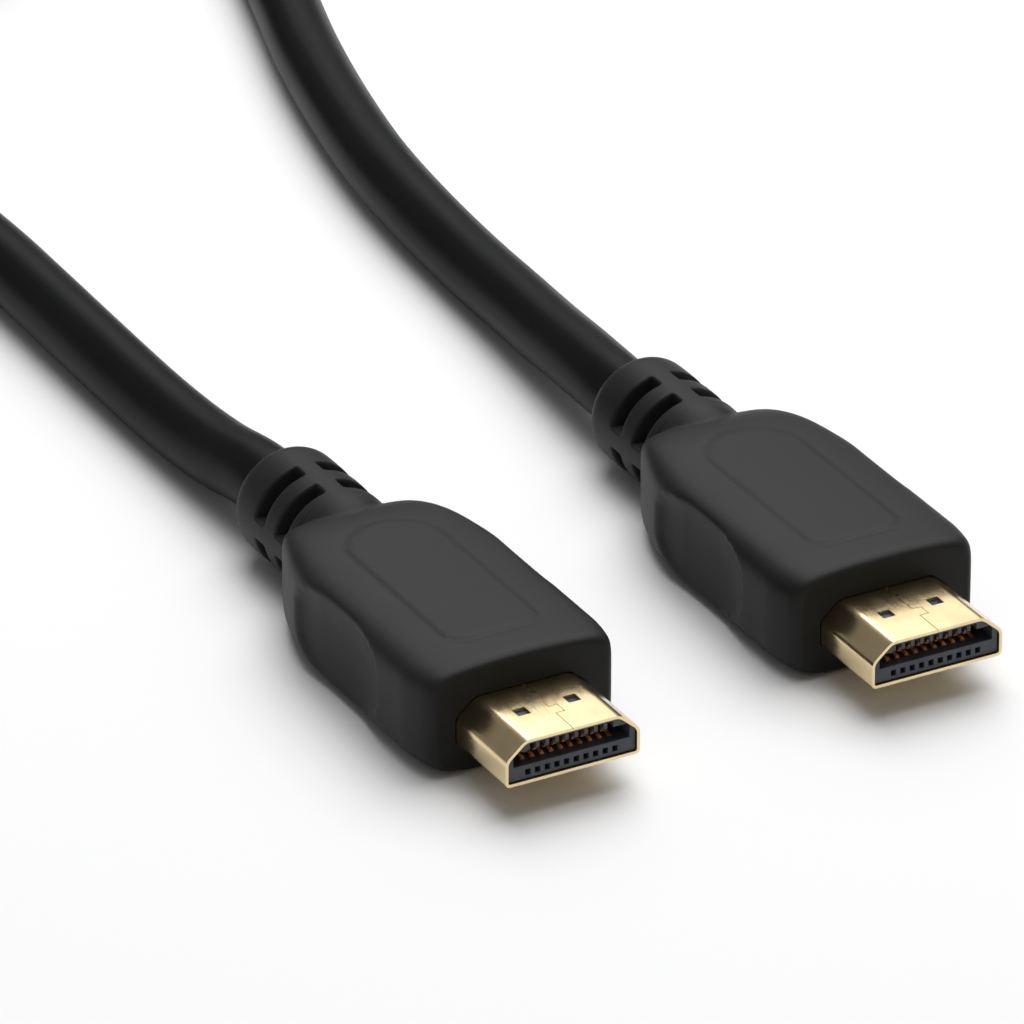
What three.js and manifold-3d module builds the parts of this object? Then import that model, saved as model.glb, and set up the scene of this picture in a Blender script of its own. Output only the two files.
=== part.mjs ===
// A digital video and audio lead with the same nineteen-contact plug on each end.
// Millimetres, +Z up. Both plugs point along +X and lie side by side on the floor, Z = 0.
// The length between them runs back along -X into a flat round coil that a tie holds.
// The origin is on the floor, under the middle of the two plugs.

import * as THREE from 'three';
import { mergeVertices } from 'three/addons/utils/BufferGeometryUtils.js';
import Module from 'manifold-3d';

const wasm = await Module();
wasm.setup();

// Clearances
const shellGap = 0.15; // moulded housing to metal shell
const insulatorGap = 0.1; // metal shell to insulator
const contactGap = 0.08; // contact strip to the floor of its channel
const meetingGap = 0.3; // cable to collar, cable to coil, coil to tie
const cutOvershoot = 1; // how far a cutter runs past the face it opens

// Moulded housing, in the plug's own frame: X = 0 is its front face
const bodyLength = 35;
const bodyWidth = 20.5;
const bodyHeight = 11.2;
const bodyCornerRadius = 2.9;
const bodyCrown = 0.4;
const bodyFrontWidth = 19;
const frontTaperLength = 4.5;
const frontTaperKnee = 1.5;
const frontEdgeDrop = 0.45;
const frontEdgeLength = 0.9;
const shoulderLength = 7.6;
const shoulderTopLength = 4.2;
const shoulderTopDrop = 1.6;
const neckRadius = 5.55;
const neckRootLength = 5;
const collarLength = 12.3;
const collarEndRadius = 2.4;
const axisHeight = bodyHeight / 2;

// Thumb recess in each side of the housing
const thumbLength = 17;
const thumbHeight = 7.6;
const thumbDepth = 0.9;
const thumbBulge = 3;
const thumbFront = 8.8;

// Strain relief slots in the collar
const slotWidth = 1.7;
const slotDepth = 1.9;
const slotPitch = 4;
const slotCount = 2;
const firstSlotSetback = 2.2;
const slotRibWidth = 2.1;

// Metal shell, wide side down
const shellWidth = 13.9;
const shellHeight = 4.45;
const shellWall = 0.3;
const shellNarrowWidth = 9.8;
const shellStepRise = 0.45;
const shellExposed = 9.35;
const shellSeat = 5;
const latchHoleSize = 1.3;
const latchHoleSpacing = 5.2;
const latchHoleSetback = 4.9;

// Insulator with its tongue slot
const insulatorSetback = 0.25;
const tongueWidth = 12;
const tongueHeight = 1.45;
const tongueDepth = 8.4;
const tongueLift = 0.3;

// Contacts: a wide row below the tongue slot, a narrow row above it
const contactPitch = 1;
const wideRowCount = 10;
const narrowRowCount = 9;
const contactWidth = 0.42;
const contactThickness = 0.18;
const contactLength = 7;
const contactBow = 0.34;
const contactBowSetback = 1.5; // from the contact's tip
const contactKneeSetback = 4.2; // from the contact's tip
const contactSetback = 1.1;
const channelWidth = 0.64;
const channelDepth = 0.36;
const pocketSize = 0.5;
const pocketDepth = 0.8;
const pocketOffset = 0.36; // from the slot wall to the pocket's near edge

// Lead
const cableDiameter = 7;
const cableSides = 10;
const cableSteps = 16;
const plugSpacing = 38.3;

// Coil and tie
const coilCentreX = -199;
const coilCentreY = 1;
const coilMeanRadius = 36.5;
const coilTurnPitch = 7.1;
const coilTurnsPerLayer = 2.25;
const coilLayerCount = 2;
const coilEdgeRadius = 3;
const tubeStandoff = 14; // a run stops this far before its tangent point on the coil
const tieWidth = 5;
const tieThickness = 0.6;
const tieTwistRadius = 1.3;
const tieTwistLength = 9;

// Sizes that follow from the ones above
const housingLength = bodyLength + collarLength;
const frontFaceX = (housingLength - shellExposed) / 2;
const cableRadius = cableDiameter / 2;
const coilLift = tieThickness + meetingGap;
const coilHalfBand = (coilTurnPitch * coilTurnsPerLayer) / 2 + cableRadius;
const coilOuterRadius = coilMeanRadius + coilHalfBand;
const coilInnerRadius = coilMeanRadius - coilHalfBand;
const coilHeight = coilTurnPitch * (coilLayerCount - 1) + cableDiameter;
const outerTurnRadius = coilOuterRadius - cableRadius;
const upperTurnHeight = coilLift + coilHeight - cableRadius;

const curveSegments = 6;
const roundSegments = 40;
const sphereSegments = 28;

const finishes = {
  moulding: { color: 0x1c1c1e, roughness: 0.42, metalness: 0 },
  jacket: { color: 0x1e1e20, roughness: 0.38, metalness: 0 },
  goldPlate: { color: 0xe8bd62, roughness: 0.22, metalness: 1 },
  insulator: { color: 0x3a4048, roughness: 0.5, metalness: 0 },
  contactPlate: { color: 0xc98a55, roughness: 0.3, metalness: 1 },
  tie: { color: 0x17181a, roughness: 0.6, metalness: 0 },
};

// A closed solid from a closed geometry
function solidFrom(geometry) {
  const bare = geometry.index ? geometry.toNonIndexed() : geometry.clone();
  bare.deleteAttribute('normal');
  bare.deleteAttribute('uv');
  const welded = mergeVertices(bare, 1e-5);
  return new wasm.Manifold(
    new wasm.Mesh({
      numProp: 3,
      vertProperties: new Float32Array(welded.attributes.position.array),
      triVerts: new Uint32Array(welded.index.array),
    })
  );
}

// A named mesh from a solid
function namedMesh(name, solid, finish) {
  const data = solid.getMesh();
  const geometry = new THREE.BufferGeometry();
  geometry.setAttribute('position', new THREE.BufferAttribute(data.vertProperties, 3));
  geometry.setIndex(new THREE.BufferAttribute(data.triVerts, 1));
  geometry.computeVertexNormals();
  const mesh = new THREE.Mesh(geometry, new THREE.MeshStandardMaterial(finish));
  mesh.name = name;
  return mesh;
}

// An outline in (y, z) drawn out along X from x = start to x = end
function alongX(outline, start, end) {
  const depth = end - start;
  const geometry = new THREE.ExtrudeGeometry(outline, { depth, bevelEnabled: false, curveSegments });
  const yAxis = new THREE.Vector3(0, 1, 0);
  const zAxis = new THREE.Vector3(0, 0, 1);
  const xAxis = new THREE.Vector3(1, 0, 0);
  geometry.applyMatrix4(new THREE.Matrix4().makeBasis(yAxis, zAxis, xAxis));
  return geometry.translate(start, 0, 0);
}

// An outline in (x, z) drawn out along Y, centred on y = middle
function alongY(outline, middle, width) {
  const geometry = new THREE.ExtrudeGeometry(outline, { depth: width, bevelEnabled: false, curveSegments });
  geometry.rotateX(Math.PI / 2);
  return geometry.translate(0, middle + width / 2, 0);
}

// A profile of (radius, x) points turned about the X axis at the plug's own height
function turnedOnPlugAxis(profile) {
  const points = profile.map(([radius, x]) => new THREE.Vector2(radius, x));
  const geometry = new THREE.LatheGeometry(points, roundSegments);
  geometry.rotateZ(-Math.PI / 2);
  return geometry.translate(0, 0, axisHeight);
}

function boxBetween([x0, y0, z0], [x1, y1, z1]) {
  const geometry = new THREE.BoxGeometry(x1 - x0, y1 - y0, z1 - z0);
  return geometry.translate((x0 + x1) / 2, (y0 + y1) / 2, (z0 + z1) / 2);
}

// Housing seen from above: tapered front, straight sides, elliptical shoulders
function bodyPlan() {
  const half = bodyWidth / 2;
  const front = bodyFrontWidth / 2;
  const shoulder = -(bodyLength - shoulderLength);
  const outline = new THREE.Shape();
  outline.moveTo(0, -front);
  outline.lineTo(0, front);
  outline.quadraticCurveTo(-frontTaperKnee, half, -frontTaperLength, half);
  outline.lineTo(shoulder, half);
  const shoulderWidth = half - neckRadius;
  outline.absellipse(shoulder, neckRadius, shoulderLength, shoulderWidth, Math.PI / 2, Math.PI, false, 0);
  outline.lineTo(-bodyLength, -neckRadius);
  outline.absellipse(shoulder, -neckRadius, shoulderLength, shoulderWidth, Math.PI, Math.PI * 1.5, false, 0);
  outline.lineTo(-frontTaperLength, -half);
  outline.quadraticCurveTo(-frontTaperKnee, -half, 0, -front);
  return outline;
}

// Housing seen along X: flat underside, round corners, slightly crowned top
function bodySection() {
  const half = bodyWidth / 2;
  const radius = bodyCornerRadius;
  const edge = half - radius;
  const sideTop = bodyHeight - bodyCrown;
  const crownRadius = (edge * edge + bodyCrown * bodyCrown) / (2 * bodyCrown);
  const crownAngle = Math.asin(edge / crownRadius);
  const outline = new THREE.Shape();
  outline.moveTo(-edge, 0);
  outline.lineTo(edge, 0);
  outline.absarc(edge, radius, radius, -Math.PI / 2, 0, false);
  outline.absarc(edge, sideTop - radius, radius, 0, Math.PI / 2, false);
  const crownStart = Math.PI / 2 - crownAngle;
  outline.absarc(0, bodyHeight - crownRadius, crownRadius, crownStart, Math.PI - crownStart, false);
  outline.absarc(-edge, sideTop - radius, radius, Math.PI / 2, Math.PI, false);
  outline.absarc(-edge, radius, radius, Math.PI, Math.PI * 1.5, false);
  return outline;
}

// Housing seen from the side: eased front edges, top and underside falling to the neck
function bodySide() {
  const rearTop = bodyHeight - shoulderTopDrop;
  const shoulderStart = -(bodyLength - shoulderTopLength);
  const outline = new THREE.Shape();
  outline.moveTo(-frontEdgeLength, 0);
  outline.quadraticCurveTo(0, 0, 0, frontEdgeDrop);
  outline.lineTo(0, bodyHeight - frontEdgeDrop);
  outline.quadraticCurveTo(0, bodyHeight, -frontEdgeLength, bodyHeight);
  outline.lineTo(shoulderStart, bodyHeight);
  outline.quadraticCurveTo(-bodyLength, bodyHeight, -bodyLength, rearTop);
  outline.lineTo(-bodyLength, shoulderTopDrop);
  outline.quadraticCurveTo(-bodyLength, 0, shoulderStart, 0);
  return outline;
}

// Shell outline seen along X, shrunk by inset on every side: wide below, corners cut above
function shellOutline(inset) {
  const wide = shellWidth / 2 - inset;
  const slopeRun = (shellWidth - shellNarrowWidth) / 2;
  const slopeRise = shellHeight / 2 - shellStepRise;
  const slopeLength = Math.hypot(slopeRun, slopeRise);
  const narrow = shellNarrowWidth / 2 - (inset * (slopeLength - slopeRun)) / slopeRise;
  const step = shellStepRise - (inset * (slopeLength - slopeRise)) / slopeRun;
  const top = axisHeight + shellHeight / 2 - inset;
  const bottom = axisHeight - shellHeight / 2 + inset;
  const outline = new THREE.Shape();
  outline.moveTo(-wide, bottom);
  outline.lineTo(wide, bottom);
  outline.lineTo(wide, axisHeight + step);
  outline.lineTo(narrow, top);
  outline.lineTo(-narrow, top);
  outline.lineTo(-wide, axisHeight + step);
  outline.closePath();
  return outline;
}

function thumbCutter(side) {
  const cutter = new THREE.SphereGeometry(1, sphereSegments, sphereSegments / 2);
  cutter.scale(thumbLength / 2, thumbBulge, thumbHeight / 2);
  const centreX = -(thumbFront + thumbLength / 2);
  const centreY = side * (bodyWidth / 2 + thumbBulge - thumbDepth);
  return solidFrom(cutter.translate(centreX, centreY, axisHeight));
}

// One ring of four slots, parted by ribs at the top, bottom and both sides
function slotRingCutter(ringX) {
  const floorRadius = neckRadius - slotDepth;
  const outside = neckRadius + cutOvershoot;
  const [x0, x1] = [ringX - slotWidth / 2, ringX + slotWidth / 2];
  const ring = solidFrom(
    turnedOnPlugAxis([[floorRadius, x0], [outside, x0], [outside, x1], [floorRadius, x1], [floorRadius, x0]])
  );
  const rib = slotRibWidth / 2;
  const reach = outside + cutOvershoot;
  const [rear, front] = [x0 - cutOvershoot, x1 + cutOvershoot];
  const uprightRib = boxBetween([rear, -rib, axisHeight - reach], [front, rib, axisHeight + reach]);
  const levelRib = boxBetween([rear, -reach, axisHeight - rib], [front, reach, axisHeight + rib]);
  return ring.subtract(solidFrom(uprightRib)).subtract(solidFrom(levelRib));
}

function makeHousing(name) {
  const planOptions = { depth: bodyHeight, bevelEnabled: false, curveSegments };
  const plan = new THREE.ExtrudeGeometry(bodyPlan(), planOptions);
  const section = alongX(bodySection(), -bodyLength, 0);
  const side = alongY(bodySide(), 0, bodyWidth);
  let solid = solidFrom(plan).intersect(solidFrom(section)).intersect(solidFrom(side));

  const collarProfile = [
    [0, -(bodyLength - neckRootLength)],
    [neckRadius, -(bodyLength - neckRootLength)],
    [neckRadius, -(housingLength - collarEndRadius)],
  ];
  for (let step = 1; step <= curveSegments; step += 1) {
    const angle = (step / curveSegments) * (Math.PI / 2);
    collarProfile.push([
      neckRadius - collarEndRadius * (1 - Math.cos(angle)),
      -(housingLength - collarEndRadius) - collarEndRadius * Math.sin(angle),
    ]);
  }
  collarProfile.push([0, -housingLength]);
  solid = solid.add(solidFrom(turnedOnPlugAxis(collarProfile.reverse())));

  for (const flank of [-1, 1]) {
    solid = solid.subtract(thumbCutter(flank));
  }
  for (let ring = 0; ring < slotCount; ring += 1) {
    solid = solid.subtract(slotRingCutter(-(bodyLength + firstSlotSetback + ring * slotPitch)));
  }
  const shellPocket = alongX(shellOutline(-shellGap), -(shellSeat + meetingGap), cutOvershoot);
  solid = solid.subtract(solidFrom(shellPocket));
  return namedMesh(name, solid, finishes.moulding);
}

function makeShell(name) {
  const outline = shellOutline(0);
  outline.holes.push(shellOutline(shellWall));
  let solid = solidFrom(alongX(outline, -shellSeat, shellExposed));
  for (const flank of [-1, 1]) {
    const centreX = shellExposed - latchHoleSetback;
    const centreY = (flank * latchHoleSpacing) / 2;
    const half = latchHoleSize / 2;
    const hole = boxBetween(
      [centreX - half, centreY - half, axisHeight + shellHeight / 2 - shellWall - insulatorGap / 2],
      [centreX + half, centreY + half, axisHeight + shellHeight / 2 + cutOvershoot]
    );
    solid = solid.subtract(solidFrom(hole));
  }
  return namedMesh(name, solid, finishes.goldPlate);
}

const insulatorFront = shellExposed - insulatorSetback;
const tongueMiddle = axisHeight + tongueLift;

// Sideways places of a row's contacts
function rowPlaces(count) {
  return Array.from({ length: count }, (_, index) => (index - (count - 1) / 2) * contactPitch);
}

// The two rows: which wall of the tongue slot they lie in, and how many contacts they have
const contactRows = [
  { label: 'wide', count: wideRowCount, wall: -1 },
  { label: 'narrow', count: narrowRowCount, wall: 1 },
];

function makeInsulator(name) {
  const outline = shellOutline(shellWall + insulatorGap);
  let solid = solidFrom(alongX(outline, -shellSeat, insulatorFront));
  const tongue = boxBetween(
    [insulatorFront - tongueDepth, -tongueWidth / 2, tongueMiddle - tongueHeight / 2],
    [insulatorFront + cutOvershoot, tongueWidth / 2, tongueMiddle + tongueHeight / 2]
  );
  solid = solid.subtract(solidFrom(tongue));
  for (const row of contactRows) {
    const wallZ = tongueMiddle + (row.wall * tongueHeight) / 2;
    for (const y of rowPlaces(row.count)) {
      const channelEnds = [wallZ - (row.wall * tongueHeight) / 4, wallZ + row.wall * channelDepth];
      const channelHeights = channelEnds.sort((a, b) => a - b);
      const channel = boxBetween(
        [insulatorFront - tongueDepth, y - channelWidth / 2, channelHeights[0]],
        [insulatorFront - pocketDepth - contactGap, y + channelWidth / 2, channelHeights[1]]
      );
      solid = solid.subtract(solidFrom(channel));
      const nearEdge = row.wall * pocketOffset;
      const pocketEnds = [wallZ + nearEdge, wallZ + nearEdge + (row.wall * pocketSize) / 2];
      const pocketHeights = pocketEnds.sort((a, b) => a - b);
      const pocket = boxBetween(
        [insulatorFront - pocketDepth, y - pocketSize / 2, pocketHeights[0]],
        [insulatorFront + cutOvershoot, y + pocketSize / 2, pocketHeights[1]]
      );
      solid = solid.subtract(solidFrom(pocket));
    }
  }
  return namedMesh(name, solid, finishes.insulator);
}

// A strip that lies in its channel and bows into the tongue slot near its tip
function makeContact(name, y, wall) {
  const floorZ = tongueMiddle + wall * (tongueHeight / 2 + channelDepth - contactGap);
  const frontX = insulatorFront - contactSetback;
  const backX = frontX - contactLength;
  const bowX = frontX - contactBowSetback;
  const kneeX = frontX - contactKneeSetback;
  const inward = -wall;
  const near = (height) => floorZ + inward * height;
  const points = [
    [backX, near(0)],
    [kneeX, near(0)],
    [bowX, near(channelDepth - contactGap + contactBow - contactThickness)],
    [frontX, near(channelDepth - contactGap)],
    [frontX, near(channelDepth - contactGap + contactThickness)],
    [bowX, near(channelDepth - contactGap + contactBow)],
    [kneeX, near(contactThickness)],
    [backX, near(contactThickness)],
  ];
  const outline = new THREE.Shape(points.map(([x, z]) => new THREE.Vector2(x, z)));
  return namedMesh(name, solidFrom(alongY(outline, y, contactWidth)), finishes.contactPlate);
}

function makePlug(label, y) {
  const plug = new THREE.Group();
  plug.add(makeHousing(`${label}_plug_housing`));
  plug.add(makeShell(`${label}_plug_shell`));
  plug.add(makeInsulator(`${label}_plug_insulator`));
  for (const row of contactRows) {
    rowPlaces(row.count).forEach((place, index) => {
      const number = String(index + 1).padStart(2, '0');
      plug.add(makeContact(`${label}_plug_${row.label}_contact_${number}`, place, row.wall));
    });
  }
  plug.position.set(frontFaceX, y, 0);
  return plug;
}

const leftY = -plugSpacing / 2;
const rightY = plugSpacing / 2;
const exitX = frontFaceX - housingLength - meetingGap;

// Route of each run from its collar to the coil: (x, y, z)
const leftRoute = [
  [exitX, leftY, axisHeight],
  [-34, leftY, 5.3],
  [-40, -19.3, 4.4],
  [-47, -19.3, 3.8],
  [-55, -19.2, cableRadius],
  [-66, -19.0, cableRadius],
  [-78, -18.7, cableRadius],
  [-90, -18.5, cableRadius],
  [-103, -19.1, cableRadius],
  [-116, -21.5, cableRadius],
  [-128, -25.4, cableRadius],
  [-140, -30.6, cableRadius],
  [-152, -35.8, 3.7],
  [-163, -40.1, 4.1],
  [-174, -42.7, 4.4],
  [coilCentreX + tubeStandoff, coilCentreY - outerTurnRadius, coilLift + cableRadius],
];
const rightRoute = [
  [exitX, rightY, axisHeight],
  [-34, 19.3, 5.5],
  [-40, 19.8, 5.1],
  [-47, 20.4, 4.5],
  [-55, 21.1, 4.0],
  [-66, 21.9, cableRadius],
  [-78, 22.8, cableRadius],
  [-90, 24.3, cableRadius],
  [-103, 26.9, cableRadius],
  [-116, 30.2, cableRadius],
  [-128, 33.9, cableRadius],
  [-140, 37.6, cableRadius],
  [-152, 41.1, 4.1],
  [-163, 43.7, 6.3],
  [-174, 45.2, 9.3],
  [coilCentreX + tubeStandoff, coilCentreY + outerTurnRadius, upperTurnHeight],
];

function coilRing(growth) {
  const inner = coilInnerRadius - growth;
  const outer = coilOuterRadius + growth;
  const bottom = coilLift - growth;
  const top = coilLift + coilHeight + growth;
  const ease = coilEdgeRadius;
  const profile = [
    [inner, bottom + ease],
    [inner + ease, bottom],
    [outer - ease, bottom],
    [outer, bottom + ease],
    [outer, top - ease],
    [outer - ease, top],
    [inner + ease, top],
    [inner, top - ease],
    [inner, bottom + ease],
  ];
  const points = profile.map(([radius, z]) => new THREE.Vector2(radius, z));
  const geometry = new THREE.LatheGeometry(points, roundSegments);
  geometry.rotateX(Math.PI / 2);
  return geometry.translate(coilCentreX, coilCentreY, 0);
}

function makeRun(name, route) {
  const section = new THREE.Shape();
  for (let side = 0; side < cableSides; side += 1) {
    const angle = (side / cableSides) * Math.PI * 2;
    const point = [Math.cos(angle) * cableRadius, Math.sin(angle) * cableRadius];
    if (side === 0) {
      section.moveTo(...point);
    } else {
      section.lineTo(...point);
    }
  }
  const path = new THREE.CatmullRomCurve3(route.map((point) => new THREE.Vector3(...point)));
  const tube = new THREE.ExtrudeGeometry(section, { steps: cableSteps, extrudePath: path });
  const solid = solidFrom(tube).subtract(solidFrom(coilRing(meetingGap)));
  return namedMesh(name, solid, finishes.jacket);
}

// A band around the coil's section at its far side, with its two ends twisted together
function makeTie(name) {
  const inside = {
    x0: coilCentreX - coilOuterRadius - meetingGap,
    x1: coilCentreX - coilInnerRadius + meetingGap,
  };
  const rectangle = (Path, grow) => {
    const [left, right] = [inside.x0 - grow, inside.x1 + grow];
    const [low, high] = [tieThickness - grow, coilLift + coilHeight + meetingGap + grow];
    return new Path([
      new THREE.Vector2(left, low),
      new THREE.Vector2(right, low),
      new THREE.Vector2(right, high),
      new THREE.Vector2(left, high),
    ]);
  };
  const outline = rectangle(THREE.Shape, tieThickness);
  outline.holes.push(rectangle(THREE.Path, 0));
  const band = alongY(outline, coilCentreY, tieWidth);
  const twist = new THREE.CylinderGeometry(tieTwistRadius, tieTwistRadius, tieTwistLength, cableSides);
  twist.rotateX(Math.PI / 2);
  const outsideX = inside.x0 - tieThickness;
  const twistTop = coilLift + coilHeight;
  twist.translate(outsideX, coilCentreY, twistTop - tieTwistLength / 2);
  const twistRoom = boxBetween(
    [inside.x0, coilCentreY - tieWidth, tieThickness],
    [inside.x1, coilCentreY + tieWidth, coilLift + coilHeight + meetingGap]
  );
  const solid = solidFrom(band).add(solidFrom(twist).subtract(solidFrom(twistRoom)));
  return namedMesh(name, solid, finishes.tie);
}

const videoLead = new THREE.Group();
videoLead.add(makePlug('left', leftY));
videoLead.add(makePlug('right', rightY));
videoLead.add(makeRun('left_cable_run', leftRoute));
videoLead.add(makeRun('right_cable_run', rightRoute));
videoLead.add(namedMesh('cable_coil', solidFrom(coilRing(0)), finishes.jacket));
videoLead.add(makeTie('coil_tie'));

export default videoLead;
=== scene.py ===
import logging
import math
from dataclasses import dataclass, field
from enum import Enum

import bmesh
import bpy
from mathutils import Matrix, Vector


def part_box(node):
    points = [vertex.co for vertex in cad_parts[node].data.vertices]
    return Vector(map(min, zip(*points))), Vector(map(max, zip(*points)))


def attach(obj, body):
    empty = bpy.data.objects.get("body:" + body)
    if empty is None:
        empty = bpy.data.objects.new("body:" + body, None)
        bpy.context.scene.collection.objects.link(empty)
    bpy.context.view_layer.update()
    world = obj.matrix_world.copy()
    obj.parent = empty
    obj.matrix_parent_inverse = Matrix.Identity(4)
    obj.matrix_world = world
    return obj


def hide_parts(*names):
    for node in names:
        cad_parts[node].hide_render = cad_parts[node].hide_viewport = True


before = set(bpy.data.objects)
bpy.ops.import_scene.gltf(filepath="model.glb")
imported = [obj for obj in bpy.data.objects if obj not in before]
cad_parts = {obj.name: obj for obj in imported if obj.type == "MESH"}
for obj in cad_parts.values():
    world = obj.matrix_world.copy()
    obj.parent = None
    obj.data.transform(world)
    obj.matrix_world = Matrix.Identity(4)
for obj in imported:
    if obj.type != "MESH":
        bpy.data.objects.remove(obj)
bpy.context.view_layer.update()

MM = 0.001
BODY = "root"
NOISE_ROUGHNESS = 0.55
MIX_FIRST, MIX_SECOND, MIX_RESULT = 6, 7, 2
SHARP_ANGLE = 40.0
EDGE_STEPS = 2
BEND_STEPS = 6
PARALLEL = 1e-12
LEVEL = 0.01 * MM
EDGE_SLACK = 1e-6

log = logging.getLogger("video_lead")


class End(Enum):
    """The two ends of the lead, named as the camera sees them."""

    LEFT = "left"
    RIGHT = "right"


class Row(Enum):
    """The two rows of contacts in a plug."""

    WIDE = "wide"
    NARROW = "narrow"


class Signal:
    """A number that a shader works out, with arithmetic written as Python operators."""

    def __init__(self, graph: "Graph", socket: bpy.types.NodeSocket) -> None:
        """Keeps the socket that carries the number.

        Args:
            graph: The node graph that the socket belongs to.
            socket: The output socket of a node.
        """
        self.graph = graph
        self.socket = socket

    def _math(self, operation: str, *values: "Signal | float") -> "Signal":
        """Adds one Math node on the given values."""
        inputs = dict(enumerate(values))
        return self.graph.node("ShaderNodeMath", {"operation": operation}, inputs)["Value"]

    def __add__(self, other: "Signal | float") -> "Signal":
        """Sum of two numbers."""
        return self._math("ADD", self, other)

    __radd__ = __add__

    def __sub__(self, other: "Signal | float") -> "Signal":
        """This number less the other."""
        return self._math("SUBTRACT", self, other)

    def __rsub__(self, other: float) -> "Signal":
        """The other number less this one."""
        return self._math("SUBTRACT", other, self)

    def __mul__(self, other: "Signal | float") -> "Signal":
        """Product of two numbers."""
        return self._math("MULTIPLY", self, other)

    __rmul__ = __mul__

    def ramp(self, low: float, high: float) -> "Signal":
        """Rises smoothly from nought to one as the number goes from low to high."""
        settings = {"interpolation_type": "SMOOTHSTEP", "clamp": True}
        inputs = {"Value": self, "From Min": low, "From Max": high, "To Min": 0.0, "To Max": 1.0}
        return self.graph.node("ShaderNodeMapRange", settings, inputs)["Result"]


class Outputs:
    """The outputs of one node, by name."""

    def __init__(self, graph: "Graph", node: bpy.types.Node) -> None:
        """Keeps the node.

        Args:
            graph: The node graph that the node belongs to.
            node: The node itself.
        """
        self.graph = graph
        self.node = node

    def __getitem__(self, name: str) -> Signal:
        """The output of that name."""
        return Signal(self.graph, self.node.outputs[name])


class Graph:
    """The node graph of one material."""

    def __init__(self, name: str) -> None:
        """Makes an empty node material.

        Args:
            name: The material's name.
        """
        self.material = bpy.data.materials.new(name)
        self.material.use_nodes = True
        self.tree = self.material.node_tree
        self.tree.nodes.clear()

    def node(self, kind: str, settings: dict | None = None, inputs: dict | None = None) -> Outputs:
        """Adds one node.

        Args:
            kind: The node's type.
            settings: Attributes, such as a Math node's operation, set before the sockets.
            inputs: Values, or signals to link, by the name or number of their socket.

        Returns:
            The new node's outputs.
        """
        made = self.tree.nodes.new(kind)
        for name, value in (settings or {}).items():
            setattr(made, name, value)
        for key, value in (inputs or {}).items():
            socket = made.inputs[key]
            if isinstance(value, Signal):
                self.tree.links.new(value.socket, socket)
            else:
                socket.default_value = value
        return Outputs(self, made)

    def noise(self, place: Signal, size: float, detail: float, stretch: tuple | None = None) -> Signal:
        """Smooth noise in object space.

        Args:
            place: The coordinates.
            size: The size of one spot, in metres.
            detail: How many finer layers are added.
            stretch: Factors on X, Y and Z, where the pattern is drawn out.

        Returns:
            The noise, from nought to one.
        """
        if stretch is not None:
            place = self.node("ShaderNodeMapping", {}, {"Vector": place, "Scale": stretch})["Vector"]
        inputs = {"Vector": place, "Scale": 1.0 / size, "Detail": detail, "Roughness": NOISE_ROUGHNESS}
        return self.node("ShaderNodeTexNoise", {}, inputs)["Fac"]

    def blend(self, low: tuple, high: tuple, factor: Signal) -> Signal:
        """Mixes two colours.

        Args:
            low: Colour at factor nought.
            high: Colour at factor one.
            factor: The share of the second colour.

        Returns:
            The mixed colour.
        """
        mixed = self.node(
            "ShaderNodeMix",
            {"data_type": "RGBA"},
            {"Factor": factor, MIX_FIRST: (*low, 1.0), MIX_SECOND: (*high, 1.0)},
        )
        return Signal(self, mixed.node.outputs[MIX_RESULT])

    def place(self) -> Signal:
        """Object coordinates."""
        return self.node("ShaderNodeTexCoord")["Object"]

    def bump(self, height: Signal, depth: float) -> Signal:
        """A normal tilted by a height.

        Args:
            height: The relief, from nought to one.
            depth: The size of one unit of relief, in metres.

        Returns:
            The tilted normal.
        """
        inputs = {"Height": height, "Distance": depth, "Strength": 1.0}
        return self.node("ShaderNodeBump", {}, inputs)["Normal"]

    def finish(self, **sockets: "Signal | float | tuple") -> bpy.types.Material:
        """Adds the surface shader.

        Args:
            **sockets: Values or signals by socket name, with underscores for spaces.

        Returns:
            The finished material.
        """
        inputs = {name.replace("_", " "): value for name, value in sockets.items()}
        shader = self.node("ShaderNodeBsdfPrincipled", {}, inputs)
        self.node("ShaderNodeOutputMaterial", {}, {"Surface": shader["BSDF"]})
        return self.material


@dataclass(frozen=True)
class Finish:
    """What the finishes share: two tones in soft clouds, and a fine grain. Lengths are in metres."""

    name: str
    slot: str
    dark: tuple
    light: tuple
    roughness: float
    roughness_spread: float
    cloud_size: float
    grain_size: float
    grain_depth: float
    cloud_detail: float = 3.0
    grain_detail: float = 2.0
    grain_stretch: tuple | None = None
    gloss_in_clouds: bool = False
    metallic: float = 0.0
    reflection: float = 0.5

    def tone(self, clouds: Signal) -> Signal:
        """The share of the light colour."""
        return clouds

    def relief(self, graph: Graph, place: Signal, grain: Signal) -> Signal:
        """The tilted normal.

        Args:
            graph: The material's nodes.
            place: The coordinates.
            grain: The fine grain.

        Returns:
            The normal.
        """
        return graph.bump(grain, self.grain_depth)

    def material(self) -> bpy.types.Material:
        """Makes the material."""
        graph = Graph(self.name)
        place = graph.place()
        clouds = graph.noise(place, self.cloud_size, self.cloud_detail)
        grain = graph.noise(place, self.grain_size, self.grain_detail, self.grain_stretch)
        gloss = clouds if self.gloss_in_clouds else grain
        return graph.finish(
            Base_Color=graph.blend(self.dark, self.light, self.tone(clouds)),
            Roughness=self.roughness + self.roughness_spread * (gloss - 0.5),
            Metallic=self.metallic,
            Specular_IOR_Level=self.reflection,
            Normal=self.relief(graph, place, grain),
        )


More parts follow.
